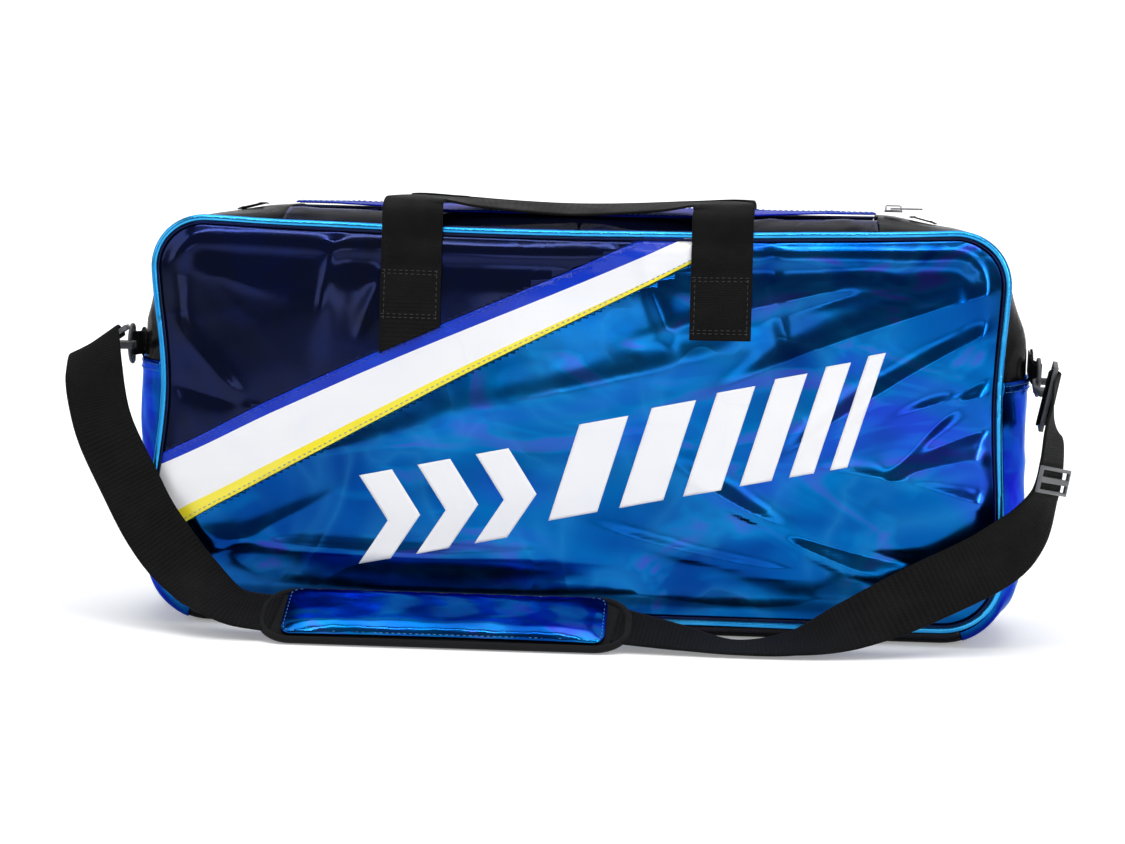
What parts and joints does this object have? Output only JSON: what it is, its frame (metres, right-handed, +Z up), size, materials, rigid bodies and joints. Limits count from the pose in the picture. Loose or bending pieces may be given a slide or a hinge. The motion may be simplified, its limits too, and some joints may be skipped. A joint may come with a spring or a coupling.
{
  "type": "racket tournament bag",
  "caption": "Long rectangular racket bag with piped panels, diagonal band, top zip, two web handles and a padded clip-on shoulder strap",
  "frame": {"origin": "centre of the base, on the surface that the bag stands on", "axes": "+X along the bag's length to the right of someone facing the front panel, +Y to the back, +Z up"},
  "size_m": [0.8368, 0.2802, 0.3652],
  "materials": {
    "navy_sheet": "glossy coated sheet, dark navy",
    "printed_band": "satin coated sheet with printed royal, white and yellow bands",
    "blue_sheet": "metallic, slightly iridescent coated sheet",
    "black_sheet": "dark coated sheet, semi-gloss",
    "piping": "glossy light blue piping",
    "royal_cloth": "glossy royal blue facing with stitching",
    "webbing": "woven black webbing",
    "pad_backing": "black mesh cloth over foam",
    "zip": "woven zip tape with nylon coil",
    "zip_metal": "dark plated die casting",
    "hook_plastic": "moulded plastic",
    "foam": "closed-cell foam sheet",
    "lining": "woven lining",
    "board": "stiff plastic sheet"
  },
  "bodies": {
    "bag": {"front_panel_navy": "navy_sheet", "front_panel_band": "printed_band", "front_panel_blue": "blue_sheet", "back_panel": "blue_sheet", "front_foam": "foam", "front_lining": "lining", "back_foam": "foam", "back_lining": "lining", "gusset_lining": "lining", "base_board": "board", "front_piping": "piping", "rear_piping": "piping", "right_end_upper": "black_sheet", "right_end_lower": "blue_sheet", "bottom_panel": "black_sheet", "left_end_lower": "blue_sheet", "left_end_upper": "black_sheet", "front_handle_leg_left": "webbing", "front_handle_leg_right": "webbing", "rear_handle_leg_left": "webbing", "rear_handle_leg_right": "webbing", "left_strap_anchor": "webbing", "right_strap_anchor": "webbing"},
    "front_mouth": {"front_flap": "navy_sheet", "front_facing": "royal_cloth", "front_zip_tape": "zip"},
    "rear_mouth": {"rear_flap": "navy_sheet", "rear_facing": "royal_cloth", "rear_zip_tape": "zip"},
    "slider": {"zip_slider": "zip_metal"},
    "pull": {"zip_pull": "zip_metal"},
    "front_handle": {"front_handle_loop": "webbing"},
    "rear_handle": {"rear_handle_loop": "webbing"},
    "strap": {"left_ring_tab": "webbing", "left_d_ring": "hook_plastic", "left_hook": "hook_plastic", "right_ring_tab": "webbing", "right_d_ring": "hook_plastic", "right_hook": "hook_plastic", "strap_webbing_left": "webbing", "strap_webbing_right": "webbing", "pad_base": "pad_backing", "pad_cover": "blue_sheet", "strap_adjuster": "hook_plastic"},
    "left_gate": {"left_hook_gate": "hook_plastic"},
    "right_gate": {"right_hook_gate": "hook_plastic"}
  },
  "joints": [
    {"name": "front_flap_fold", "type": "hinge", "parent": "bag", "child": "front_mouth", "pos_m": [0, -0.0863, 0.3394], "axis": [-1, 0, 0], "range_deg": [0, 75]},
    {"name": "rear_flap_fold", "type": "hinge", "parent": "bag", "child": "rear_mouth", "pos_m": [0, 0.0863, 0.3394], "axis": [1, 0, 0], "range_deg": [0, 75]},
    {"name": "zip_travel", "type": "slide", "parent": "bag", "child": "slider", "axis": [-1, 0, 0], "range_m": [0, 0.52]},
    {"name": "zip_pull_lift", "type": "hinge", "parent": "slider", "child": "pull", "pos_m": [0.2581, 0, 0.3558], "axis": [0, -1, 0], "range_deg": [0, 90]},
    {"name": "front_handle_lift", "type": "hinge", "parent": "bag", "child": "front_handle", "pos_m": [0, -0.097, 0.345], "axis": [1, 0, 0], "range_deg": [0, 150]},
    {"name": "rear_handle_lift", "type": "hinge", "parent": "bag", "child": "rear_handle", "pos_m": [0, 0.097, 0.345], "axis": [-1, 0, 0], "range_deg": [0, 150]},
    {"name": "strap_swing", "type": "hinge", "parent": "bag", "child": "strap", "pos_m": [0, 0, 0.228], "axis": [-1, 0, 0], "range_deg": [0, 150]},
    {"name": "left_gate_press", "type": "hinge", "parent": "strap", "child": "left_gate", "pos_m": [-0.393, -0.051, 0.228], "axis": [0, 0, -1], "range_deg": [0, 15], "stiffness_Nm_per_rad": 0.03},
    {"name": "right_gate_press", "type": "hinge", "parent": "strap", "child": "right_gate", "pos_m": [0.393, -0.04792, 0.21056], "axis": [0, -0.342, 0.9397], "range_deg": [0, 15], "stiffness_Nm_per_rad": 0.03}
  ]
}
